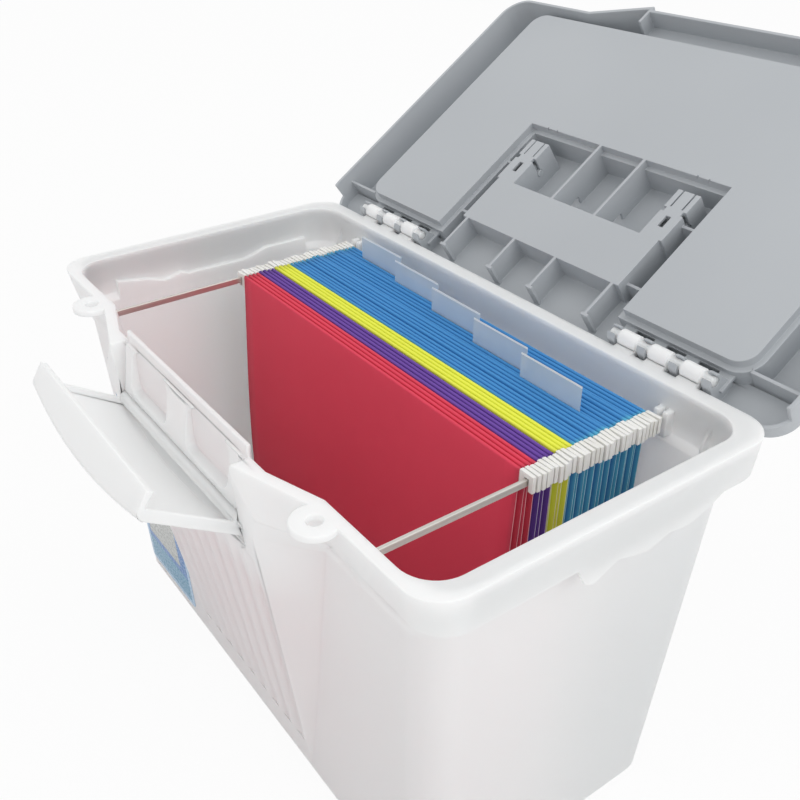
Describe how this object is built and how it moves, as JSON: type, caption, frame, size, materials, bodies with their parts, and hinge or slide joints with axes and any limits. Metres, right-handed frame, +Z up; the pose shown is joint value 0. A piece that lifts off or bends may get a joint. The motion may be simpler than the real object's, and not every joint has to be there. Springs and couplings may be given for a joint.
{
  "type": "portable file box",
  "caption": "Portable file box with a nose latch, hinged organiser lid, carry handle and hanging folders on steel rails.",
  "frame": {"origin": "centre of the base, on the surface the box stands on", "axes": "+X along the box's length, -Y out of the front where the latch is, +Z up"},
  "size_m": [0.436, 0.524, 0.4163],
  "materials": {
    "bin_plastic": "translucent natural polypropylene, satin",
    "lid_plastic": "grey polypropylene, fine matt",
    "rail_steel": "plain strip",
    "label_paper": "printed, satin",
    "folder_red": "uncoated stock",
    "folder_purple": "uncoated stock",
    "folder_yellow": "uncoated stock",
    "folder_blue": "uncoated stock",
    "bar_tips": "white coated bar ends",
    "tab_clear": "clear"
  },
  "bodies": {
    "bin": {"file_bin": "bin_plastic", "rail_left": "rail_steel", "rail_right": "rail_steel", "label": "label_paper"},
    "lid": {"lid_shell": "lid_plastic"},
    "latch_flap": {"latch": "bin_plastic"},
    "handle": {"carry_handle": "lid_plastic"},
    "left_door": {"door_left": "lid_plastic"},
    "right_door": {"door_right": "lid_plastic"},
    "files": {"folder_red_2": "folder_red", "folder_purple_1": "folder_purple", "folder_purple_2": "folder_purple", "folder_yellow_1": "folder_yellow", "folder_yellow_2": "folder_yellow", "folder_blue_1": "folder_blue", "folder_blue_2": "folder_blue", "folder_blue_3": "folder_blue", "folder_blue_4": "folder_blue", "folder_blue_5": "folder_blue", "folder_blue_6": "folder_blue", "folder_blue_7": "folder_blue", "folder_blue_8": "folder_blue", "folder_blue_9": "folder_blue", "bars_red_2": "bar_tips", "bars_purple_1": "bar_tips", "bars_purple_2": "bar_tips", "bars_yellow_1": "bar_tips", "bars_yellow_2": "bar_tips", "bars_blue_1": "bar_tips", "bars_blue_2": "bar_tips", "bars_blue_3": "bar_tips", "bars_blue_4": "bar_tips", "bars_blue_5": "bar_tips", "bars_blue_6": "bar_tips", "bars_blue_7": "bar_tips", "bars_blue_8": "bar_tips", "bars_blue_9": "bar_tips", "index_tab_1": "tab_clear", "index_tab_2": "tab_clear", "index_tab_3": "tab_clear", "index_tab_4": "tab_clear", "index_tab_5": "tab_clear"},
    "front_file": {"folder_red_1": "folder_red", "bars_red_1": "bar_tips"}
  },
  "joints": [
    {"name": "lid_hinge", "type": "hinge", "parent": "bin", "child": "lid", "pos_m": [0, 0.121, 0.273], "axis": [1, 0, 0], "range_deg": [0, 146.2]},
    {"name": "latch_hinge", "type": "hinge", "parent": "bin", "child": "latch_flap", "pos_m": [0, -0.126, 0.23], "axis": [-1, 0, 0], "range_deg": [0, 57]},
    {"name": "handle_pivot", "type": "hinge", "parent": "lid", "child": "handle", "pos_m": [0, 0.20274, 0.31448], "axis": [1, 0, 0], "range_deg": [0, 100]},
    {"name": "door_left_hinge", "type": "hinge", "parent": "lid", "child": "left_door", "pos_m": [-0.1801, 0.23479, 0.32053], "axis": [0, 0.831, 0.5563], "range_deg": [0, 100]},
    {"name": "door_right_hinge", "type": "hinge", "parent": "lid", "child": "right_door", "pos_m": [0.1801, 0.23479, 0.32053], "axis": [0, -0.831, -0.5563], "range_deg": [0, 100]},
    {"name": "files_slide", "type": "slide", "parent": "bin", "child": "files", "axis": [0, 1, 0], "range_m": [-0.08, 0]},
    {"name": "front_file_lift", "type": "slide", "parent": "files", "child": "front_file", "axis": [0, 0, -1], "range_m": [-0.28, 0]}
  ]
}
